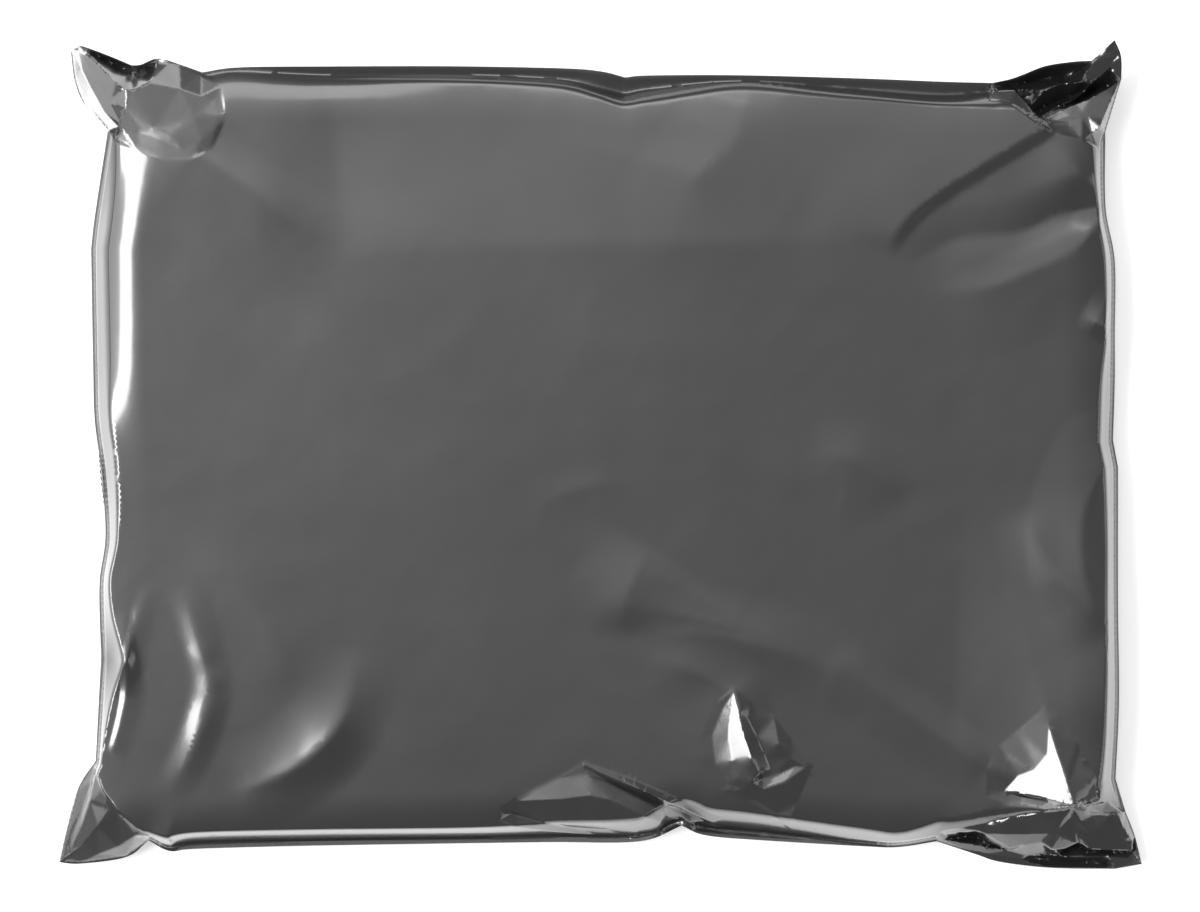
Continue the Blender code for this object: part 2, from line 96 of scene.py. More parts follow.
# The sealed edge all round, from the upper left ear clockwise. Each stretch is smooth inside and has a
# corner at its ends. A point is: pixel x, pixel y, height in mm, climb of the wall (rise per run), softness
# of the shoulder in mm, width of the flat sealed strip in mm, fall of the film towards the edge in mm.
OUTLINE = [
    [(71, 51, 15.5, 0.3, 3, 0, 2), (80, 46, 16.5, 0.2, 3, 0, 2), (94, 50, 16, 0.2, 3, 0, 2),
     (113, 57, 12, 0.2, 3, 0, 2), (130, 64, 9, 0.3, 3, 0, 2)],
    [(130, 64, 9, 0.3, 3, 0, 2), (140, 64, 12, 0.3, 3, 0, 2), (159, 59, 19, 0.3, 3, 0, 2),
     (180, 65, 20, 0.5, 3, 0, 2), (203, 73, 19, 0.8, 2, 1, 3)],
    [(203, 73, 19, 0.8, 2, 1, 3), (240, 68, 19, 0.8, 2, 1, 3), (330, 67, 19, 1.0, 1.5, 3, 4),
     (450, 67, 20, 1.3, 1.2, 3, 2), (560, 69, 20, 1.3, 1.2, 4, 2), (600, 72, 20, 1.2, 1.2, 6, 2),
     (625, 78, 19, 1.2, 1.2, 6, 2)],
    [(625, 78, 19, 1.2, 1.2, 6, 2), (650, 76, 19, 1.2, 1.2, 5, 2), (740, 76, 20, 1.2, 1.2, 2, 2),
     (860, 79, 19, 1.4, 1.2, 4, 2), (940, 82, 18, 1.6, 1.2, 5, 2), (992, 83, 16, 1.6, 1.5, 3, 2)],
    [(992, 83, 16, 1.6, 1.5, 3, 2), (1010, 79, 15, 0.8, 2, 1, 1), (1024, 74, 15, 0.4, 2, 0, 0),
     (1045, 66, 16, 0.3, 2, 0, 0), (1072, 62, 17, 0.2, 2, 0, 0), (1091, 61, 17, 0.2, 2, 0, 0)],
    [(1091, 61, 17, 0.2, 2, 0, 0), (1113, 41, 21, 0.2, 2, 0, 0)],
    [(1113, 41, 21, 0.2, 2, 0, 0), (1120, 57, 19, 0.2, 2, 0, 0), (1121, 79, 16, 0.3, 2, 0, 0)],
    [(1121, 79, 16, 0.3, 2, 0, 0), (1106, 131, 12, 1.0, 3, 0, 2)],
    [(1106, 131, 12, 1.6, 3, 0, 2), (1107, 206, 9, 3.4, 2, 0, 2), (1117, 260, 6, 3.4, 2, 0, 2),
     (1117, 333, 6, 3.6, 2, 0, 2), (1117, 380, 6, 2.6, 2, 0, 2), (1115, 440, 7, 2.5, 2, 0, 2)],
    [(1115, 440, 7, 2.5, 2, 0, 2), (1120, 467, 7, 2.6, 2, 0, 2)],
    [(1120, 467, 7, 2.6, 2, 0, 2), (1120, 600, 7, 3.4, 2, 0, 2), (1121, 700, 7, 3.2, 2, 0, 2),
     (1117, 779, 9, 2.8, 2, 0, 2)],
    [(1117, 779, 9, 2.8, 2, 0, 2), (1127, 812, 9, 0.6, 2, 0, 1)],
    [(1127, 812, 9, 0.6, 2, 0, 1), (1137, 837, 7, 0.3, 2, 0, 0), (1144, 865, 6, 0.2, 2, 0, 0)],
    [(1144, 865, 6, 0.2, 2, 0, 0), (1117, 870, 5, 0.3, 2, 0, 0)],
    [(1117, 870, 5, 0.3, 2, 0, 0), (1053, 869, 5, 0.4, 2, 0, 0), (1002, 863, 5, 0.6, 2, 0, 0),
     (977, 855, 6, 0.8, 2, 0, 0), (938, 842, 7, 2.0, 2, 0, 2)],
    [(938, 842, 7, 2.0, 2, 0, 2), (899, 848, 6, 2.6, 2, 0, 3), (862, 847, 6, 2.6, 2, 1, 3),
     (760, 841, 6, 2.4, 2, 3, 3), (706, 836, 7, 2.0, 2, 3, 3), (682, 826, 9, 1.8, 2, 2, 3)],
    [(682, 826, 9, 1.8, 2, 2, 3), (640, 842, 7, 2.2, 2, 2, 3), (553, 843, 6, 2.8, 2, 2, 3),
     (474, 844, 6, 3.4, 1.6, 1.8, 3), (300, 847, 5, 3.5, 1.6, 2, 3), (193, 850, 5, 3.4, 1.6, 2, 3),
     (168, 852, 6, 3.2, 2, 1, 2), (147, 841, 8, 3.6, 2, 0, 2)],
    [(147, 841, 8, 3.6, 2, 0, 2), (124, 858, 6, 0.8, 3, 0, 2), (78, 865, 4, 0.5, 3, 0, 0),
     (56, 864, 3, 0.4, 3, 0, 0)],
    [(56, 864, 3, 0.4, 3, 0, 0), (62, 838, 4, 0.6, 3, 0, 0), (76, 789, 7, 1.4, 2, 0, 1),
     (94, 761, 8, 4.5, 1.2, 0, 0.4)],
    [(94, 761, 8, 4.5, 1.2, 0, 0.4), (99, 659, 7, 1.5, 1.6, 0, 0.5)],
    [(99, 659, 7, 1.5, 1.6, 0, 0.5), (97, 585, 5, 3.6, 1.8, 0, 0.6),
     (103, 535, 5, 3.2, 1.8, 0, 0.3), (98, 468, 4, 2.6, 1.6, 0, 0.6), (92, 420, 4, 2.6, 1.5, 0, 2.5),
     (90, 366, 3, 2.4, 3, 0, 7.0), (88, 247, 3, 2.4, 3, 0, 8.4)],
    [(88, 247, 3, 2.4, 3, 0, 8.4), (92, 215, 4, 2.2, 3, 0, 8.0), (108, 132, 16.3, 1.6, 3, 0, 1.5)],
    [(108, 132, 16.3, 1.6, 3, 0, 1.5), (85, 105, 15.2, 0.5, 3, 0, 3), (75, 81, 15.2, 0.4, 3, 0, 2),
     (71, 51, 15.5, 0.3, 3, 0, 2)],
]

# Ridges (rise above 0) and valleys (below 0) of the top film. A fold is: its line as pixel x, pixel y and
# rise in mm, its reach in mm to the left and to the right of the line's direction, its power (1 has
# straight sides, 2 a soft foot) and the width in mm over which its crest is rounded.
FOLDS = {
    "upper left corner ridge": ([(196, 157, 2.0), (270, 205, 2.0), (351, 258, 0)], 13, 40, 1.3, 0.8),
    "upper left valley": ([(332, 92, -0.4), (337, 140, -1.0), (342, 190, -0.9), (351, 258, 0)],
                          60, 22, 1.5, 2.5),
    "upper hinge": ([(230, 268, 0), (330, 260, 0.8), (440, 250, 2.0), (600, 246, 2.8), (760, 244, 2.6),
                     (893, 238, 1.0), (960, 236, 0)], 64, 140, 1.4, 2.0),
    "upper dent, left arm": ([(490, 134, 0), (600, 150, 0.5), (696, 179, 0.8)], 26, 60, 1.5, 0.8),
    "upper dent, right arm": ([(696, 179, 0.8), (722, 156, 0.9), (737, 139, 0.8), (748, 95, 0.1)],
                              24, 40, 1.5, 0.4),
    "upper right step": ([(1048, 127, 1.4), (939, 193, 1.2), (900, 228, 0.9), (884, 258, 0)],
                         3.5, 36, 1.5, 0.5),
    "upper right valley": ([(1104, 207, -1.8), (1060, 215, -1.5), (1015, 234, -1.0), (954, 240, -0.6),
                            (893, 275, 0)], 9, 13, 1.5, 0.4),
    "upper right ridge": ([(1102, 214, 1.2), (1074, 249, 1.2), (1020, 275, 1.0), (977, 290, 0.7),
                           (900, 292, 0)], 26, 10, 1.5, 0.4),
    "upper right fan": ([(1038, 135, 0), (1075, 172, 1.4), (1106, 204, 0.4)], 12, 26, 1.5, 0.8),
    "right pinch": ([(1117, 333, 2.0), (1094, 322, 1.4), (1080, 315, 0)], 6, 14, 1.5, 0.4),
    "right edge ridge": ([(1106, 458, 0.8), (1082, 510, 1.1), (1079, 560, 1.2), (1092, 606, 0.9),
                          (1108, 638, 0)], 9, 20, 1.0, 0.3),
    "right inner ridge": ([(1022, 505, 0), (1033, 540, 1.0), (1050, 570, 1.2), (1080, 600, 0.8),
                           (1106, 637, 0)], 10, 14, 1.5, 0.8),
    "lower right crest": ([(1012, 570, 0), (1024, 640, 0.5), (1040, 690, 1.0), (1053, 750, 2.2),
                           (1071, 803, 3.8)], 26, 24, 1.2, 0.5),
    "lower right swell": ([(1130, 480, 0), (1124, 590, 3.4), (1120, 690, 5.2), (1114, 770, 3.4)],
                          10, 60, 1.2, 1.5),
    "lower right band": ([(828, 640, 0), (880, 690, 0.7), (960, 748, 0.9), (990, 770, 0.2)], 9, 15, 1.3, 0.6),
    "middle arc": ([(628, 642, 0), (690, 632, 0.8), (760, 643, 1.0), (832, 668, 0.4)], 16, 18, 1.6, 1.5),
    "crumple slope": ([(728, 676, 0), (738, 715, 0.9), (748, 755, 1.3), (742, 800, 0.4), (738, 815, 0)],
                      12, 30, 1.3, 1.0),
    "crumple shoulder": ([(640, 655, 0), (690, 668, 0.8), (734, 692, 1.0)], 14, 18, 1.6, 0.6),
    "middle crease": ([(652, 546, 0), (640, 566, 1.0), (626, 600, 1.2), (621, 638, 0)], 60, 22, 1.5, 0.5),
    "faint crease": ([(527, 509, 0), (578, 488, 0.25), (645, 480, 0)], 10, 14, 2, 0.5),
    "right arc": ([(801, 462, 0), (847, 456, 0.6), (880, 478, 0.5), (905, 505, 0)], 14, 26, 1.6, 1.2),
    "lower left crest, top": ([(180, 582, 0), (194, 612, 0.5), (205, 648, 0.75), (212, 674, 0.3)],
                              7, 6, 1.1, 0.6),
    "lower left crest": ([(207, 655, 0.2), (213, 684, 0.8), (207, 714, 1.1), (191, 757, 0.75),
                          (165, 802, 0)], 7.5, 7, 1.15, 0.4),
    "lower left arm": ([(226, 792, 0), (262, 782, 1.0), (300, 764, 2.4),
                        (330, 738, 2.8), (349, 700, 1.2), (356, 655, 0.1), (358, 640, 0)], 20, 16, 1.8, 1.0),
    "lower left fan": ([(182, 553, 0), (238, 578, 0.4), (280, 645, 0.5), (290, 700, 0)], 20, 16, 1.6, 1.5),
    "left pinch": ([(100, 659, 2.5), (129, 659, 2.5), (140, 658, 0)], 18, 14, 1.6, 0.4),
    "left lower ridge": ([(147, 593, 0.1), (136, 625, 0.4), (130, 659, 0.5), (127, 700, 0.5), (117, 742, 0.3),
                          (112, 752, 0)], 6, 2, 1.0, 0.2),
}

# Crumples with straight creases and flat facets between them. A crumple is its border, as pixels, where it
# meets the smooth film, and its creases, as pixel x, pixel y and height above the table in mm.
CRUMPLES = {
    "upper left ear": (
        [(71, 51), (75, 81), (85, 105), (108, 132), (116, 142), (140, 153), (165, 162), (192, 162),
         (214, 150), (228, 118), (224, 86), (203, 73), (180, 65), (159, 59), (140, 64), (130, 64), (113, 57),
         (94, 50), (80, 46)],
        [[(79, 56, 16.3), (82, 68, 16.2), (90, 85, 16.4), (105, 112, 16.8), (119, 127, 17.5)],
         [(84, 55, 17.0), (97, 80, 18.1), (111, 104, 18.6), (121, 124, 18.5)],
         [(88, 52, 17.2), (103, 69, 20.4), (117, 83, 22.2), (127, 91, 22.8), (134, 91, 22.9), (150, 84, 22.9),
          (154, 79, 22.4), (158, 64, 19.6)],
         [(96, 54, 13), (115, 64, 9), (132, 72, 8), (147, 70, 9.5)],
         [(134, 91, 22.9), (127, 108, 22.9), (123, 125, 22.6)],
         [(168, 66, 20.5), (182, 90, 23.2), (197, 118, 24.4), (203, 142, 25.3)],
         [(125, 131, 22.5), (140, 134, 23.0), (162, 141, 24.2), (184, 151, 25.2)],
         [(142, 129, 23.2), (156, 128, 23.9), (174, 137, 24.8)],
         [(203, 97, 22.9), (214, 101, 22.8)]]),
    "upper right ear": (
        [(992, 83), (1010, 79), (1024, 74), (1045, 66), (1072, 62), (1091, 61), (1113, 41), (1120, 57),
         (1121, 79), (1106, 131), (1098, 150), (1080, 141), (1052, 135), (1034, 125), (1008, 105),
         (986, 102)],
        [[(990, 92, 19.6), (1013, 91, 20), (1025, 104, 20.6), (1038, 117, 21.2), (1051, 124, 21.4),
          (1066, 126, 21.4), (1081, 119, 20.8)],
         [(1002, 87, 13), (1030, 80, 8), (1060, 74, 6), (1079, 70, 8)],
         [(1018, 90, 17), (1040, 90, 17.4), (1060, 84, 18.6), (1077, 83, 18.6), (1088, 83, 18.4)],
         [(1031, 105, 17.6), (1042, 92, 18.4), (1060, 84, 18.6)],
         [(1024, 98, 14), (1034, 93, 15)],
         [(1036, 112, 13), (1050, 104, 9), (1068, 96, 8), (1083, 87, 11)],
         [(1040, 117, 20.4), (1056, 107, 17.5), (1075, 99, 17.6), (1083, 92, 17.8), (1089, 84, 18.2)],
         [(1068, 105, 15), (1084, 97, 10), (1096, 88, 8), (1112, 83, 10)],
         [(1043, 119, 20.6), (1060, 110, 19.8), (1075, 105, 19.4), (1090, 98, 19), (1105, 90, 18.4),
          (1117, 82, 17)],
         [(1052, 121, 20.8), (1068, 116, 20.6), (1081, 114, 20.4)],
         [(1054, 125, 21.6), (1068, 122, 21), (1079, 117, 20.7)],
         [(1081, 119, 20.8), (1090, 134, 21.2), (1098, 128, 22.2), (1086, 117, 20.6), (1081, 119, 20.8)],
         [(1102, 119, 20.5), (1112, 96, 18.4)],
         [(1081, 81, 18.4), (1085, 72, 18.6), (1091, 63.8, 18.8), (1104, 52, 19.6)],
         [(1088, 82, 16.5), (1099, 77, 17), (1109, 66, 18), (1113, 50, 19.8)],
         [(1108, 59, 19.2), (1116, 56, 18.8)]]),
    "lower right ear": (
        [(935, 830), (960, 826), (985, 821), (1008, 814), (1040, 808), (1072, 803), (1086, 800), (1106, 799),
         (1127, 812), (1137, 837), (1144, 865), (1117, 870), (1053, 869), (1002, 863), (977, 855),
         (938, 842)],
        [[(1071, 804, 23.5), (1062, 816, 22.4), (1055, 830, 20), (1051, 848, 15.5)],
         [(1071, 804, 23.5), (1067, 818, 20.6), (1060, 834, 18.4), (1055, 849, 14.5)],
         [(1071, 804, 23.5), (1084, 809, 22.6), (1100, 811, 20.5), (1125, 812.5, 12)],
         [(1084, 809, 22.6), (1092, 813, 19.5), (1112, 813, 16.5)],
         [(1072, 808, 21), (1080, 820, 17.5), (1092, 833, 14.4), (1105, 847, 11.4)],
         [(1074, 830, 17.8), (1076, 842, 15.4)],
         [(1112, 813, 16.5), (1117, 826, 14), (1124, 839, 11.6)],
         [(1117, 813, 17.2), (1122, 824, 14.8), (1131, 838, 12)],
         [(1055, 849, 14.5), (1066, 848, 13), (1080, 842, 13.6), (1091, 849, 12), (1110, 850, 10.5),
          (1134, 852, 8)],
         [(1084, 840, 14.6), (1091, 849, 12)],
         [(1134, 841, 9.4), (1127, 850, 9.6)],
         [(1066, 852, 6), (1079, 846, 5.5), (1090, 852, 6), (1112, 853, 5.6), (1135, 854, 5)],
         [(1070, 857, 9.5), (1085, 857, 9), (1110, 857, 8), (1138, 860, 6.4)],
         [(1045, 855, 8.5), (1062, 856, 8.5), (1070, 857, 9.5)],
         [(1044, 861, 2.6), (1062, 862, 2.6), (1090, 864, 2.8), (1112, 866, 3)],
         [(975, 829, 18.4), (985, 832.5, 17.4), (1000, 842, 14.8), (1010, 848, 12.6)],
         [(1000, 832, 19.6), (1030, 832, 19.4), (1048, 832, 19.6)],
         [(1010, 848, 12.6), (1025, 844, 14.6), (1040, 841, 16), (1051, 848, 15.5)],
         [(985, 847, 9.6), (1010, 851, 8.6), (1030, 857, 7.2), (1050, 854, 8)],
         [(954, 839, 8), (968, 838, 5.5), (980, 838, 5.5), (987, 845, 7)],
         [(940, 832, 14.6), (958, 831, 15.6), (969, 831, 16.4), (975, 829, 18.4)],
         [(945, 840, 9.6), (965, 843, 9.8), (985, 847, 9.6)],
         [(960, 848, 7.4), (990, 855, 6.8), (1020, 860, 6.2)]]),
    "lower left ear": (
        [(94, 761), (105, 786), (120, 808), (138, 824), (152, 834), (147, 841), (124, 858), (78, 865),
         (56, 864), (62, 838), (76, 789)],
        [[(97, 772, 19), (90, 800, 16.5), (80, 826, 11.5), (68, 850, 6.5)],
         [(112, 806, 22), (98, 826, 17), (82, 844, 11), (66, 857, 6.2)],
         [(136, 834, 19), (118, 846, 13.5), (96, 855, 8.4), (76, 860, 5.8)],
         [(90, 783, 13), (82, 806, 10.5), (72, 832, 7.5)]]),
    "corner facet": (
        [(984, 794), (984, 766), (996, 744), (1014, 728), (1032, 712), (1042, 702), (1056, 712), (1076, 740),
         (1094, 775), (1098, 797), (1072, 803), (1040, 807), (1004, 803)],
        [[(1071, 802, 32.4), (1063, 776, 31.7), (1054, 750, 29.9), (1046, 722, 28.0)],
         [(1071, 802, 32.4), (1045, 796, 29.4), (1020, 791, 26.2), (1004, 786, 24.1)],
         [(1004, 786, 24.1), (1014, 775, 25.2), (1032, 767, 27.4), (1044, 752, 28.6), (1046, 722, 28.0)],
         [(1071, 803.6, 28.6), (1045, 799, 25.9), (1020, 795, 24.2), (1002, 789, 23.8)]]),
}

# Crumples of the panel, written the same way, but with each crease's rise above the smooth film in mm
DENTS = {
    "lower edge tuck": (
        [(500, 806), (517, 796), (535, 785), (560, 773), (583, 759), (614, 770), (640, 780), (680, 797),
         (722, 817), (735, 822), (720, 832), (690, 833), (660, 838), (640, 839), (600, 836), (560, 832),
         (520, 826), (500, 818)],
        [[(519, 799, 0.1), (535, 788, 0.1), (560, 776, 0.1), (583, 764, 0.1), (602, 776, -0.5),
          (640, 792, -1.4), (665, 804, -2.2), (706, 821, -0.6)],
         [(585, 763, 0.3), (602, 771, 0.7), (640, 787, 1.5), (680, 805, 2.0), (712, 822, 1.2)],
         [(519, 799, 0.1), (560, 797, 2.0), (590, 793, 2.7), (610, 797, 2.5), (640, 812, 1.8),
          (660, 820, 1.6)],
         [(588, 772, 0.2), (640, 797, 0.2), (662, 811, -0.2), (660, 820, 1.6)],
         [(512, 812, -2.8), (540, 820, -3.4), (566, 826, -2.4), (605, 829, -0.8), (636, 838, 0.6)],
         [(668, 815, -1.4), (690, 822, 1.0)]]),
    "crumple": (
        [(700, 738), (712, 704), (733, 684), (752, 700), (773, 712), (790, 735), (812, 762), (806, 778),
         (796, 800), (791, 830), (770, 812), (745, 797), (720, 789), (703, 768)],
        [[(733, 688, 0.2), (739, 710, 1.6), (743, 733, 2.7), (751, 756, 3.3), (757, 769, 3.1),
          (750, 780, 2.1), (742, 787, 0.5)],
         [(733, 688, 0.2), (731, 708, 0.5), (728, 733, 0.8), (732, 758, 1.1), (737, 776, 0.9),
          (742, 787, 0.5)],
         [(733, 688, 0.2), (722, 706, -0.1), (711, 733, -0.1), (714, 762, -0.1), (727, 782, 0),
          (742, 787, 0.5)],
         [(746, 714, 0.3), (757, 735, -0.2), (766, 756, -0.3), (770, 766, -0.3)],
         [(742, 787, 0.5), (762, 787, 1.1), (783, 780, 1.4), (804, 765, 0.5)],
         [(760, 777, 0), (775, 773, -0.2), (794, 764, 0)],
         [(773, 716, 0.2), (778, 742, 1.6), (790, 756, 0.8), (804, 765, 0.5)],
         [(755, 797, -0.4), (776, 811, -0.4), (788, 826, 0.5)]]),
}

# Small waves of the film: height in mm, length of a wave in mm, shift of the pattern
WAVES = [(0.22, 60, 3.0), (0.05, 17, 11.0), (0.012, 5, 23.0)]

# Faint creases between slack facets, written the same way
CREASES = [(0.24, 48, 41.0), (0.08, 21, 57.0)]


def to_plan(pixel_x, pixel_y):
    """Place in the photograph to place on the table."""
    x = (pixel_x - (PHOTO_LEFT + PHOTO_RIGHT) / 2) * LENGTH / (PHOTO_RIGHT - PHOTO_LEFT)
    y = ((PHOTO_TOP + PHOTO_BOTTOM) / 2 - pixel_y) * WIDTH / (PHOTO_BOTTOM - PHOTO_TOP)
    return x, y


def smooth_curve(points, cell, level=False):
    """Points about a cell apart on a Catmull-Rom curve through the given ones, without the last.

    A level curve turns its own values flat past both ends.
    """
    ends = [2 * points[0] - points[1], *points, 2 * points[-1] - points[-2]]
    if level:
        ends[0][2:] = points[1][2:]
        ends[-1][2:] = points[-2][2:]
    out = []
    for before, start, end, after in zip(ends, ends[1:], ends[2:], ends[3:]):
        steps = max(1, round(float(np.hypot(*(end - start)[:2])) / cell))
        for step in range(steps):
            t = step / steps
            bend = (2 * before - 5 * start + 4 * end - after) + (3 * start - before - 3 * end + after) * t
            out.append(start + 0.5 * t * ((end - before) + bend * t))
    return out


def seam_line():
    """The sealed edge, closed and anticlockwise: x, y and OUTLINE's other values, lengths in metres."""
    rows = []
    for stretch in OUTLINE:
        points = [np.array([*to_plan(px, py), height * MM, climb, softness * MM, strip * MM, fall * MM])
                  for px, py, height, climb, softness, strip, fall in stretch]
        rows += smooth_curve(points, SEAM_CELL)
    rows = rows[::-1]
    return np.array([*rows, rows[0]])


def nearest_on_line(points, line):
    """For each point: distance to a line, side from -1 right to 1 left, segment and share along it."""
    starts, runs = line[:-1, :2], np.diff(line[:, :2], axis=0)
    offset = points[:, None, :] - starts[None]
    share = np.clip((offset * runs).sum(2) / (runs * runs).sum(1), 0, 1)
    gap = offset - share[..., None] * runs
    distance = np.hypot(gap[..., 0], gap[..., 1])
    nearest = distance.argmin(1)
    rows = np.arange(len(points))
    run, to_point = runs[nearest], offset[rows, nearest]
    away = np.hypot(to_point[:, 0], to_point[:, 1]) * np.hypot(run[:, 0], run[:, 1])
    side = (run[:, 0] * to_point[:, 1] - run[:, 1] * to_point[:, 0]) / np.maximum(away, TINY_AREA)
    place = nearest + share[rows, nearest]
    side = np.where((place > 0) & (place < len(runs)), np.sign(side), side)
    return distance[rows, nearest], side, nearest, share[rows, nearest]


def nearest_on_seam(points, seam):
    """For each point: distance to the sealed edge, segment and share along it."""
    tree = KDTree(len(seam) - 1)
    for index, row in enumerate(seam[:-1]):
        tree.insert((row[0], row[1], 0), index)
    tree.balance()
    found = np.array([tree.find((x, y, 0))[1] for x, y in points])
    best = np.full(len(points), np.inf)
    nearest = np.zeros(len(points), int)
    share = np.zeros(len(points))
    for segment in ((found - 1) % (len(seam) - 1), found):
        start = seam[segment, :2]
        run = seam[segment + 1, :2] - start
        along = np.clip(((points - start) * run).sum(1) / (run * run).sum(1), 0, 1)
        gap = np.hypot(*(points - start - along[:, None] * run).T)
        closer = gap < best
        best = np.where(closer, gap, best)
        nearest = np.where(closer, segment, nearest)
        share = np.where(closer, along, share)
    return best, nearest, share


def values_at(line, nearest, share):
    """The line's own values at a place on it."""
    return line[nearest, 2:] * (1 - share[:, None]) + line[nearest + 1, 2:] * share[:, None]


def smooth_step(share):
    """A share that begins and ends gently."""
    share = np.clip(share, 0, 1)
    return share * share * (3 - 2 * share)


def seam_fields(points, seam):
    """Distance to the sealed edge, and a row for each of its own values, blended over each point."""
    distance, nearest, share = nearest_on_seam(points, seam)
    exact = values_at(seam, nearest, share)
    far = seam[::BLEND_STRIDE]
    away = np.hypot(points[:, None, 0] - far[None, :, 0], points[:, None, 1] - far[None, :, 1])
    weight = 1 / (away + BLEND_CORE) ** BLEND_POWER
    spread = (weight @ far[:, 2:]) / weight.sum(1, keepdims=True)
    blend = smooth_step(distance / BLEND_WIDTH)[:, None]
    return distance, (exact * (1 - blend) + spread * blend).T


def fold_height(points, line, left, right, power, crest):
    """Height that one fold adds."""
    rows = [np.array([*to_plan(px, py), rise * MM]) for px, py, rise in line]
    rows = np.array([*smooth_curve(rows, FOLD_CELL, True), rows[-1]])
    distance, side, nearest, share = nearest_on_line(points, rows)
    rise = values_at(rows, nearest, share)[:, 0]
    reach = (right + (left - right) * (0.5 + 0.5 * side)) * MM
    rounded = np.hypot(distance, crest * MM) - crest * MM
    return rise * np.clip(1 - rounded / reach, 0, 1) ** power


def facets(border, creases):
    """Plan corners of the flat facets of a crumple or dent, each corner's height if given, and triangles."""
    places = [to_plan(px, py) for px, py in border]
    heights = [None] * len(places)
    edges = [(index, (index + 1) % len(places)) for index in range(len(places))]
    for crease in creases:
        first = len(places)
        places += [to_plan(px, py) for px, py, _ in crease]
        heights += [z * MM for _, _, z in crease]
        edges += [(index, index + 1) for index in range(first, len(places) - 1)]
    corners = [Vector(place) for place in places]
    found, _, triangles, sources = delaunay_2d_cdt(corners, edges, [list(range(len(border)))], 1,
                                                   FACET_MERGE)[:4]
    known = [next((heights[source] for source in row if heights[source] is not None), None)
             for row in sources]
    given = [index for index, row in enumerate(sources) if row]
    for index in set(range(len(sources))).difference(given):
        near = min(given, key=lambda other: (found[other] - found[index]).length)
        known[index] = known[near]
    return np.array([tuple(place) for place in found]), known, triangles


def in_box(points, places, margin):
    """Which points lie in the box round some places."""
    (left, low), (right, high) = np.min(places, axis=0) - margin, np.max(places, axis=0) + margin
    x, y = points.T
    return (x > left) & (x < right) & (y > low) & (y < high)


def facet_height(points, corners, heights, triangles):
    """Height of flat facets over points, and which points they cover."""
    height = np.zeros(len(points))
    covered = np.zeros(len(points), bool)
    for triangle in triangles:
        a, b, c = (corners[corner] for corner in triangle)
        (abx, aby), (acx, acy) = b - a, c - a
        area = abx * acy - acx * aby
        if abs(area) < TINY_AREA:
            continue
        offset = points - a
        share_b = (offset[:, 0] * acy - offset[:, 1] * acx) / area
        share_c = (offset[:, 1] * abx - offset[:, 0] * aby) / area
        inside = (share_b >= 0) & (share_c >= 0) & (share_b + share_c <= 1)
        z_a, z_b, z_c = (heights[corner] for corner in triangle)
        height = np.where(inside, z_a + share_b * (z_b - z_a) + share_c * (z_c - z_a), height)
        covered |= inside
    return height, covered


def crumple(points, height, seam, border, creases):
    """The film's height with the facets of one crumple in its place, faded in from the border."""
    corners, own, triangles = facets(border, creases)
    held = np.flatnonzero(in_box(points, corners, 0))
    ground = top_height(corners, seam, False)
    heights = [z if z is not None else smooth for z, smooth in zip(own, ground)]
    flat, covered = facet_height(points[held], corners, heights, triangles)
    edge = np.array([to_plan(px, py) for px, py in [*border, border[0]]])
    share = smooth_step(nearest_on_line(points[held], edge)[0] / CRUMPLE_FADE) * covered
    height = height.copy()
    height[held] += (flat - height[held]) * share
    return height


def dent_height(points, border, creases):
    """What one dent adds to the smooth film."""
    corners, own, triangles = facets(border, creases)
    added = np.zeros(len(points))
    held = np.flatnonzero(in_box(points, corners, 0))
    added[held] = facet_height(points[held], corners, [rise or 0 for rise in own], triangles)[0]
    return added


def rounded_min(a, b, softness):
    """The lower of two heights, with the corner between them rounded."""
    blend = np.clip(0.5 + 0.5 * (b - a) / softness, 0, 1)
    return b + (a - b) * blend - softness * blend * (1 - blend)


def waves(points, length, shift):
    """An even pattern of waves over points, between about -1 and 1."""
    scale = 1 / (length * MM)
    return np.array([noise.noise(Vector((x * scale, y * scale, shift))) for x, y in points])


def slack_height(points):
    """Small waves and faint creases of slack film."""
    height = np.zeros(len(points))
    for rise, length, shift in WAVES:
        height += rise * MM * waves(points, length, shift)
    for rise, length, shift in CREASES:
        ridge = waves(points, length, shift)
        height -= rise * MM * (np.hypot(ridge, CREASE_BLUNT) - CREASE_BLUNT)
    return height


def back_height(distance, seam_height):
    """Back film: flat on the table, rising to the sealed edge."""
    slope = seam_height - SEAM_THICKNESS / 2 - UNDERSIDE_CLIMB * distance
    lifted = np.maximum(-rounded_min(-slope, np.zeros_like(slope), UNDERSIDE_ROUND), 0)
    at_seam = np.clip(1 - distance / UNDERSIDE_EDGE, 0, 1)
    return lifted * (1 - at_seam) + (seam_height - SEAM_THICKNESS / 2) * at_seam


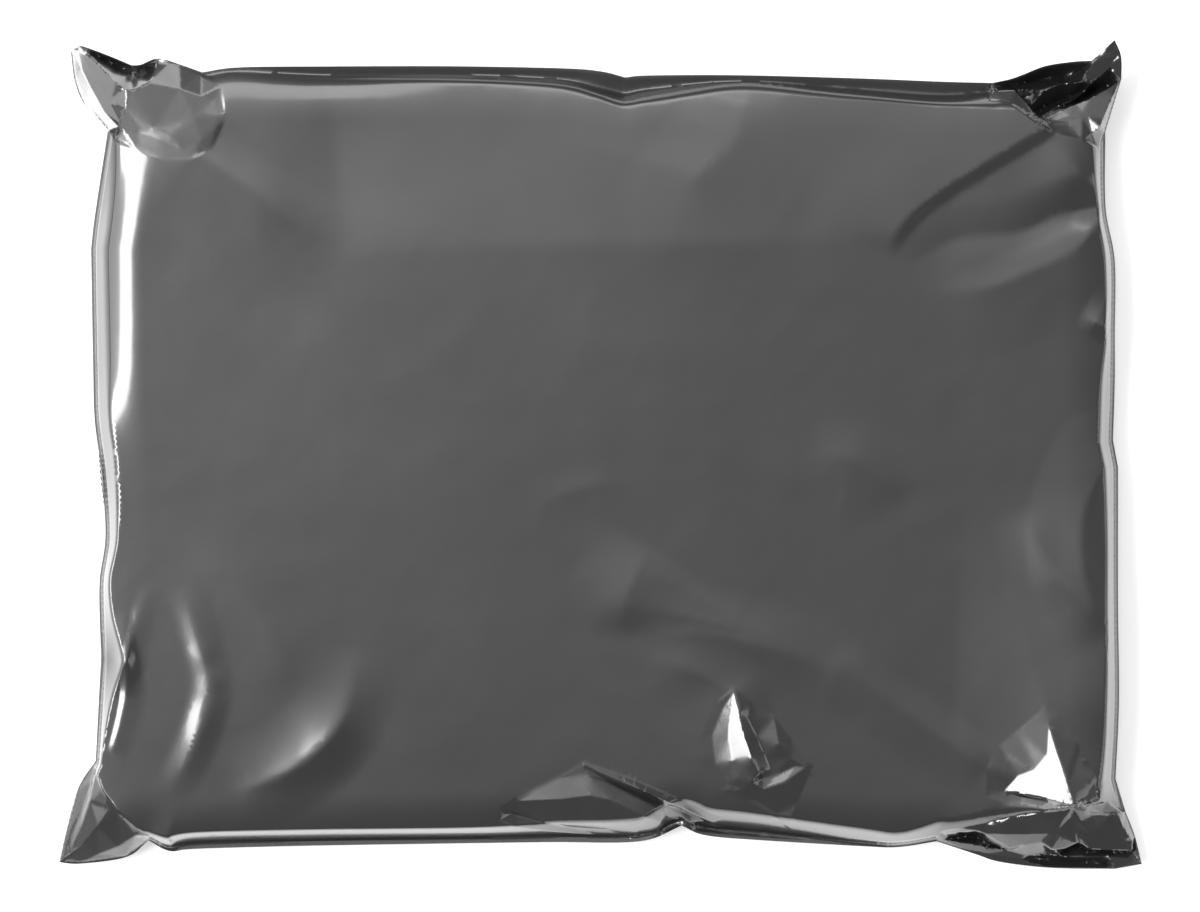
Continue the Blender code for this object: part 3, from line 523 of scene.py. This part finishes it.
def top_height(points, seam, crumpled=True):
    """Top film: sealed strip, wall, shoulder and crown with the folds, and with dents and crumples if asked."""
    distance, (seam_height, climb, softness, strip, fall) = seam_fields(points, seam)
    across = points[:, 0] / (LENGTH / 2)
    along = points[:, 1] / (WIDTH / 2)
    crown = np.clip(1 - across ** 2, 0, 1) * np.clip(1 - along ** 2, 0, 1)
    film = THICKNESS - SHOULDER_DROP * (1 - crown) + slack_height(points)
    film = film - fall * np.clip(1 - distance / FALL_WIDTH, 0, 1) ** 2
    for fold in FOLDS.values():
        film = film + fold_height(points, *fold)
    edge = seam_height + SEAM_THICKNESS / 2
    past_strip = -rounded_min(strip - distance, np.zeros_like(distance), STRIP_SOFTNESS)
    dip = (STRIP_DIP * np.clip(strip / FULL_STRIP, 0, 1)
           * np.clip(distance / np.maximum(strip, LEAST_STRIP), 0, 1))
    wall = edge - dip + climb * past_strip
    height = rounded_min(wall, film, softness)
    fade = np.clip(distance / FOLD_FADE, 0, 1)
    height = edge * (1 - fade) + height * fade
    if crumpled:
        held = np.clip(distance / DENT_FADE, 0, 1)
        height = height + held * sum(dent_height(points, *dent) for dent in DENTS.values())
        for border, creases in CRUMPLES.values():
            height = crumple(points, height, seam, border, creases)
    return np.maximum(height, back_height(distance, seam_height) + SEAM_THICKNESS)


def cut_finer(bm, side, seam, cuts):
    """Cuts every edge that is longer than its place asks for, a few times over."""
    for _ in range(CUT_ROUNDS):
        edges = bm.edges[:]
        middles = np.array([(edge.verts[0].co + edge.verts[1].co)[:2] for edge in edges]) / 2
        lengths = np.array([edge.calc_length() for edge in edges])
        near = nearest_on_seam(middles, seam)[0] < FINE_WIDTH
        back = np.array([max(face[side] for face in edge.link_faces) < 0 for edge in edges])
        creased = near_cuts(middles, cuts, CREASE_WIDTH)
        wanted = np.where(creased, CREASE_CELL, np.where(near, FINE_CELL, PANEL_CELL))
        wanted = np.where(back, BACK_CELL, wanted)
        long = [edge for edge, cut in zip(edges, lengths > wanted) if cut]
        bmesh.ops.subdivide_edges(bm, edges=long, cuts=1)
        bmesh.ops.triangulate(bm, faces=[face for face in bm.faces if len(face.verts) > 3])


def crease_cuts():
    """Start and end in plan of every straight piece of a crease."""
    cuts = []
    for border, creases in [*CRUMPLES.values(), *DENTS.values()]:
        lines = [[*border, border[0]]] + [[(px, py) for px, py, _ in crease] for crease in creases]
        for line in lines:
            places = [np.array(to_plan(px, py)) for px, py in line]
            cuts += list(zip(places, places[1:]))
    return cuts


def near_cuts(points, cuts, reach):
    """Which points lie close to a crease."""
    close = np.zeros(len(points), bool)
    for start, end in cuts:
        held = np.flatnonzero(in_box(points, [start, end], reach))
        close[held] |= nearest_on_line(points[held], np.array([start, end]))[0] < reach
    return close


def cut_along(bm, side, cuts):
    """Gives every crease its own edges in the mesh."""
    faces = [face for face in bm.faces if face[side] == 1]
    centres = np.array([face.calc_center_median()[:2] for face in faces])
    for start, end in cuts:
        along = end - start
        held = np.flatnonzero(in_box(centres, [start, end], CUT_REACH))
        close = nearest_on_line(centres[held], np.array([start, end]))[0] < CUT_REACH
        chosen = [faces[index] for index in held[close] if faces[index].is_valid]
        parts = set(chosen)
        for face in chosen:
            parts.update(face.edges)
            parts.update(face.verts)
        cut = bmesh.ops.bisect_plane(bm, geom=list(parts), dist=MERGE, plane_co=(*start, 0),
                                     plane_no=(-along[1], along[0], 0))
        new_edges = [part for part in cut["geom_cut"] if isinstance(part, bmesh.types.BMEdge)]
        fresh = [face for face in {face for edge in new_edges for face in edge.link_faces} if face[side] == 1]
        faces += fresh
        if fresh:
            centres = np.vstack([centres, [face.calc_center_median()[:2] for face in fresh]])
    bmesh.ops.triangulate(bm, faces=[face for face in bm.faces if len(face.verts) > 3])


def drop_doubled(bm):
    """Takes out slivers that lie folded flat: faces on the very same corners that face opposite ways."""
    bm.verts.index_update()
    by_corners = {}
    for face in bm.faces:
        corners = [vert.index for vert in face.verts]
        first = corners.index(min(corners))
        turned = corners[first - 2] > corners[first - 1]
        by_corners.setdefault(frozenset(corners), ([], []))[turned].append(face)
    doubled = [face for pair in by_corners.values() for faces in zip(*pair) for face in faces]
    bmesh.ops.delete(bm, geom=doubled, context="FACES")


def cut_film(bm, seam):
    """Cuts the solid's triangles finer and gives each face its side: 1 top, -1 back, 0 cut edge."""
    bmesh.ops.remove_doubles(bm, verts=bm.verts[:], dist=MERGE)
    side = bm.faces.layers.int.new("side")
    for face in bm.faces:
        rise = face.normal.z
        face[side] = int(math.copysign(1, rise)) if abs(rise) > RIM_TILT else 0
    cuts = crease_cuts()
    cut_along(bm, side, cuts)
    cut_finer(bm, side, seam, cuts)
    drop_doubled(bm)
    return side


def raise_film(bm, side, seam):
    """Sets every point of the film to its height, and the cut edge's points on the sealed edge's line."""
    verts = bm.verts[:]
    sides = [{face[side] for face in vert.link_faces} for vert in verts]
    points = np.array([vert.co[:2] for vert in verts])
    is_top = np.array([1 in kinds for kinds in sides])
    is_rim = np.array([0 in kinds for kinds in sides])
    rim = np.flatnonzero(is_rim)
    _, nearest, share = nearest_on_seam(points[rim], seam)
    places = seam[nearest, :2] * (1 - share[:, None]) + seam[nearest + 1, :2] * share[:, None]
    points[rim] = places
    heights = np.empty(len(verts))
    heights[is_top] = top_height(points[is_top], seam)
    under = ~is_top
    distance, values = seam_fields(points[under], seam)
    heights[under] = back_height(distance, values[0])
    seam_heights = values_at(seam, nearest, share)[:, 0]
    heights[rim] = seam_heights + np.where(is_top[rim], 0.5, -0.5) * SEAM_THICKNESS
    for vert, (x, y), z in zip(verts, points, heights):
        vert.co = (x, y, z)


def mark_sharp(bm, side):
    """Shades the film smooth but for its sharp folds and both sides of the cut edge."""
    bm.normal_update()
    for face in bm.faces:
        face.smooth = True
    for edge in bm.edges:
        of_rim = {face[side] == 0 for face in edge.link_faces}
        edge.smooth = edge.calc_face_angle(math.pi) < math.radians(SHARP_ANGLE) and len(of_rim) == 1


def object_of(bm, name):
    """Turns a mesh under work into an object of the scene."""
    mesh = bpy.data.meshes.new(name)
    bm.to_mesh(mesh)
    bm.free()
    made = bpy.data.objects.new(name, mesh)
    bpy.context.scene.collection.objects.link(made)
    return made


def film_bag():
    """The whole bag as one finely cut and creased film."""
    seam = seam_line()
    bm = bmesh.new()
    bm.from_mesh(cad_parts["mailer_bag"].data)
    side = cut_film(bm, seam)
    raise_film(bm, side, seam)
    mark_sharp(bm, side)
    bm.faces.layers.int.remove(side)
    return object_of(bm, "film_bag")


class Value:
    """A number in a material that takes part in sums like any other."""

    def __init__(self, finish, socket):
        self.finish = finish
        self.socket = socket

    def maths(self, operation, first, second):
        return self.finish.node("ShaderNodeMath", {"operation": operation}, {0: first, 1: second})

    def __add__(self, other):
        return self.maths("ADD", self, other)

    def __radd__(self, other):
        return self.maths("ADD", other, self)

    def __sub__(self, other):
        return self.maths("SUBTRACT", self, other)

    def __rsub__(self, other):
        return self.maths("SUBTRACT", other, self)

    def __mul__(self, other):
        return self.maths("MULTIPLY", self, other)

    def __rmul__(self, other):
        return self.maths("MULTIPLY", other, self)


class Finish:
    """The node tree of a material or of the world."""

    def __init__(self, owner):
        owner.use_nodes = True
        self.tree = owner.node_tree

    def fill(self, node, values):
        """Sets or links the sockets of a node."""
        for key, value in values.items():
            if isinstance(value, Value):
                self.tree.links.new(value.socket, node.inputs[key])
            else:
                node.inputs[key].default_value = value

    def node(self, kind, settings=None, values=None, output=0):
        """Adds a node with its settings and the values or links of its sockets, and gives one output."""
        node = self.tree.nodes.new(kind)
        for key, value in (settings or {}).items():
            setattr(node, key, value)
        self.fill(node, values or {})
        return Value(self, node.outputs[output])

    def ray(self, kind):
        """1 for rays of one kind, such as Is Camera Ray, and 0 for others."""
        return self.node("ShaderNodeLightPath", output=kind)


# Film finish
FILM_DARK = (0.011, 0.011, 0.0112, 1)
FILM_LIGHT = (0.014, 0.014, 0.0138, 1)
FILM_ROUGHNESS = 0.26
CLOUDING = 0.08          # how much the roughness varies
COAT_ROUGHNESS = 0.12
PLASTIC_IOR = 1.5
CLOUD = {"Scale": 28.0, "Detail": 3.0}
RIPPLE = {"Scale": 130.0, "Detail": 3.0}
GRAIN = {"Scale": 900.0, "Detail": 2.0}
GRAIN_SHARE = 0.15       # height of the grain beside that of the ripple
BUMP = {"Strength": 0.35, "Distance": 0.00012}

# Table and light
TABLE_TONE = (0.62, 0.62, 0.62, 1)
TABLE_ROUGHNESS = 0.9
TABLE_GLOW = 0.5         # of the white table to the camera
TABLE_SHEEN = 0.55       # of the white table in the film's reflections
TABLE_SIZE = 6.0
TABLE_GAP = 0.0002       # how far the table lies below the bag, so that their faces don't fight
WHITE = (1, 1, 1, 1)
SKY_DARK = 0.34
SKY_LIGHT = 1.6
SKY_EDGE = 0.62          # cosine of the angle from the bright part where its glow begins
SKY_LEAN = (-0.20, 0.42, 0.88)  # towards the bright part

# Lamps: name, place, width, height and radiance
SOFTBOXES = [
    ("key", (-2.94, 0.16, 4.4), 3.4, 1.8, 15),
    ("side", (-1.55, 0.05, 0.75), 1.3, 1.1, 3),
    ("back", (-0.4, 1.0, 1.35), 1.2, 0.7, 3),
    ("fill", (1.7, -0.2, 1.0), 1.0, 1.2, 1.5),
]

# Camera, straight above the middle of the bag
EYE_HEIGHT = 2.0
PHOTO_LEVEL = 0.015      # height above the table at which the photograph's width is measured
SENSOR = 36

# Sockets of a Mix node that mixes colours, by number, since several of its sockets share a name
MIX_FROM, MIX_TO, MIXED = 6, 7, 2


def film_finish():
    """Dark grey polythene: glossy, with a soft haze under the shine and faint pressed-in marks."""
    material = bpy.data.materials.new("grey_film")
    finish = Finish(material)
    shader = finish.tree.nodes["Principled BSDF"]
    place = finish.node("ShaderNodeTexCoord", output="Object")
    cloud, grain, ripple = (finish.node("ShaderNodeTexNoise", values={"Vector": place, **pattern})
                            for pattern in (CLOUD, GRAIN, RIPPLE))
    relief = finish.node("ShaderNodeBump", values={**BUMP, "Height": ripple + GRAIN_SHARE * grain})
    tone = finish.node("ShaderNodeMix", {"data_type": "RGBA"},
                       {"Factor": cloud, MIX_FROM: FILM_DARK, MIX_TO: FILM_LIGHT}, MIXED)
    finish.fill(shader, {"Base Color": tone, "Roughness": FILM_ROUGHNESS - CLOUDING / 2 + CLOUDING * cloud,
                         "IOR": PLASTIC_IOR, "Coat Weight": 1.0, "Coat Roughness": COAT_ROUGHNESS,
                         "Coat IOR": PLASTIC_IOR, "Normal": relief})
    return material


def table_finish():
    """White table that keeps the bag's shadow and shows as plain white."""
    material = bpy.data.materials.new("white_table")
    finish = Finish(material)
    shader = finish.tree.nodes["Principled BSDF"]
    mirrored = finish.ray("Is Glossy Ray") + finish.ray("Is Transmission Ray")
    glow = TABLE_GLOW * finish.ray("Is Camera Ray") + TABLE_SHEEN * mirrored
    finish.fill(shader, {"Base Color": TABLE_TONE, "Roughness": TABLE_ROUGHNESS, "Specular IOR Level": 0.0,
                         "Emission Color": WHITE, "Emission Strength": glow})
    return material


def white_table():
    """The table under the bag."""
    bm = bmesh.new()
    bmesh.ops.create_grid(bm, x_segments=1, y_segments=1, size=TABLE_SIZE / 2)
    bmesh.ops.translate(bm, verts=bm.verts[:], vec=(0, 0, -TABLE_GAP))
    table = object_of(bm, "table")
    table.data.materials.append(table_finish())
    return table


def studio_sky():
    """Even light all round, brighter overhead towards the photograph's upper left. It shows as white."""
    world = bpy.data.worlds.new("studio")
    bpy.context.scene.world = world
    sky = Finish(world)
    way = sky.node("ShaderNodeTexCoord", output="Generated")
    lean = sky.node("ShaderNodeVectorMath", {"operation": "DOT_PRODUCT"},
                    {0: way, 1: Vector(SKY_LEAN).normalized()}, "Value")
    rise = sky.node("ShaderNodeMapRange", values={"Value": lean, "From Min": SKY_EDGE, "From Max": 1.0})
    glow = SKY_DARK + (SKY_LIGHT - SKY_DARK) * (rise * rise)
    seen = sky.ray("Is Camera Ray")
    sky.fill(sky.tree.nodes["Background"], {"Color": WHITE, "Strength": glow * (1 - seen) + seen})


def softbox(name, place, width, height, radiance):
    """A rectangular lamp that faces the middle of the table and isn't seen itself."""
    lamp = bpy.data.lights.new(name, "AREA")
    lamp.shape = "RECTANGLE"
    lamp.size = width
    lamp.size_y = height
    lamp.energy = radiance * width * height * math.pi
    box = bpy.data.objects.new(name, lamp)
    bpy.context.scene.collection.objects.link(box)
    box.location = place
    box.rotation_euler = (-Vector(place)).to_track_quat("-Z", "Y").to_euler()
    box.visible_camera = False


def overhead_camera():
    """The photograph's camera, which takes in as much of the table as the photograph does."""
    camera = bpy.data.cameras.new("camera")
    camera.sensor_width = SENSOR
    camera.lens = SENSOR * (EYE_HEIGHT - PHOTO_LEVEL) / (LENGTH * PHOTO_WIDTH / (PHOTO_RIGHT - PHOTO_LEFT))
    eye = bpy.data.objects.new("camera", camera)
    bpy.context.scene.collection.objects.link(eye)
    eye.location = (0, 0, EYE_HEIGHT)
    bpy.context.scene.camera = eye


bag = film_bag()
bag.data.materials.append(film_finish())
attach(bag, "root")
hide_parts("mailer_bag")
white_table()

studio_sky()
for lamp in SOFTBOXES:
    softbox(*lamp)
overhead_camera()
bpy.context.scene.view_settings.view_transform = "Standard"
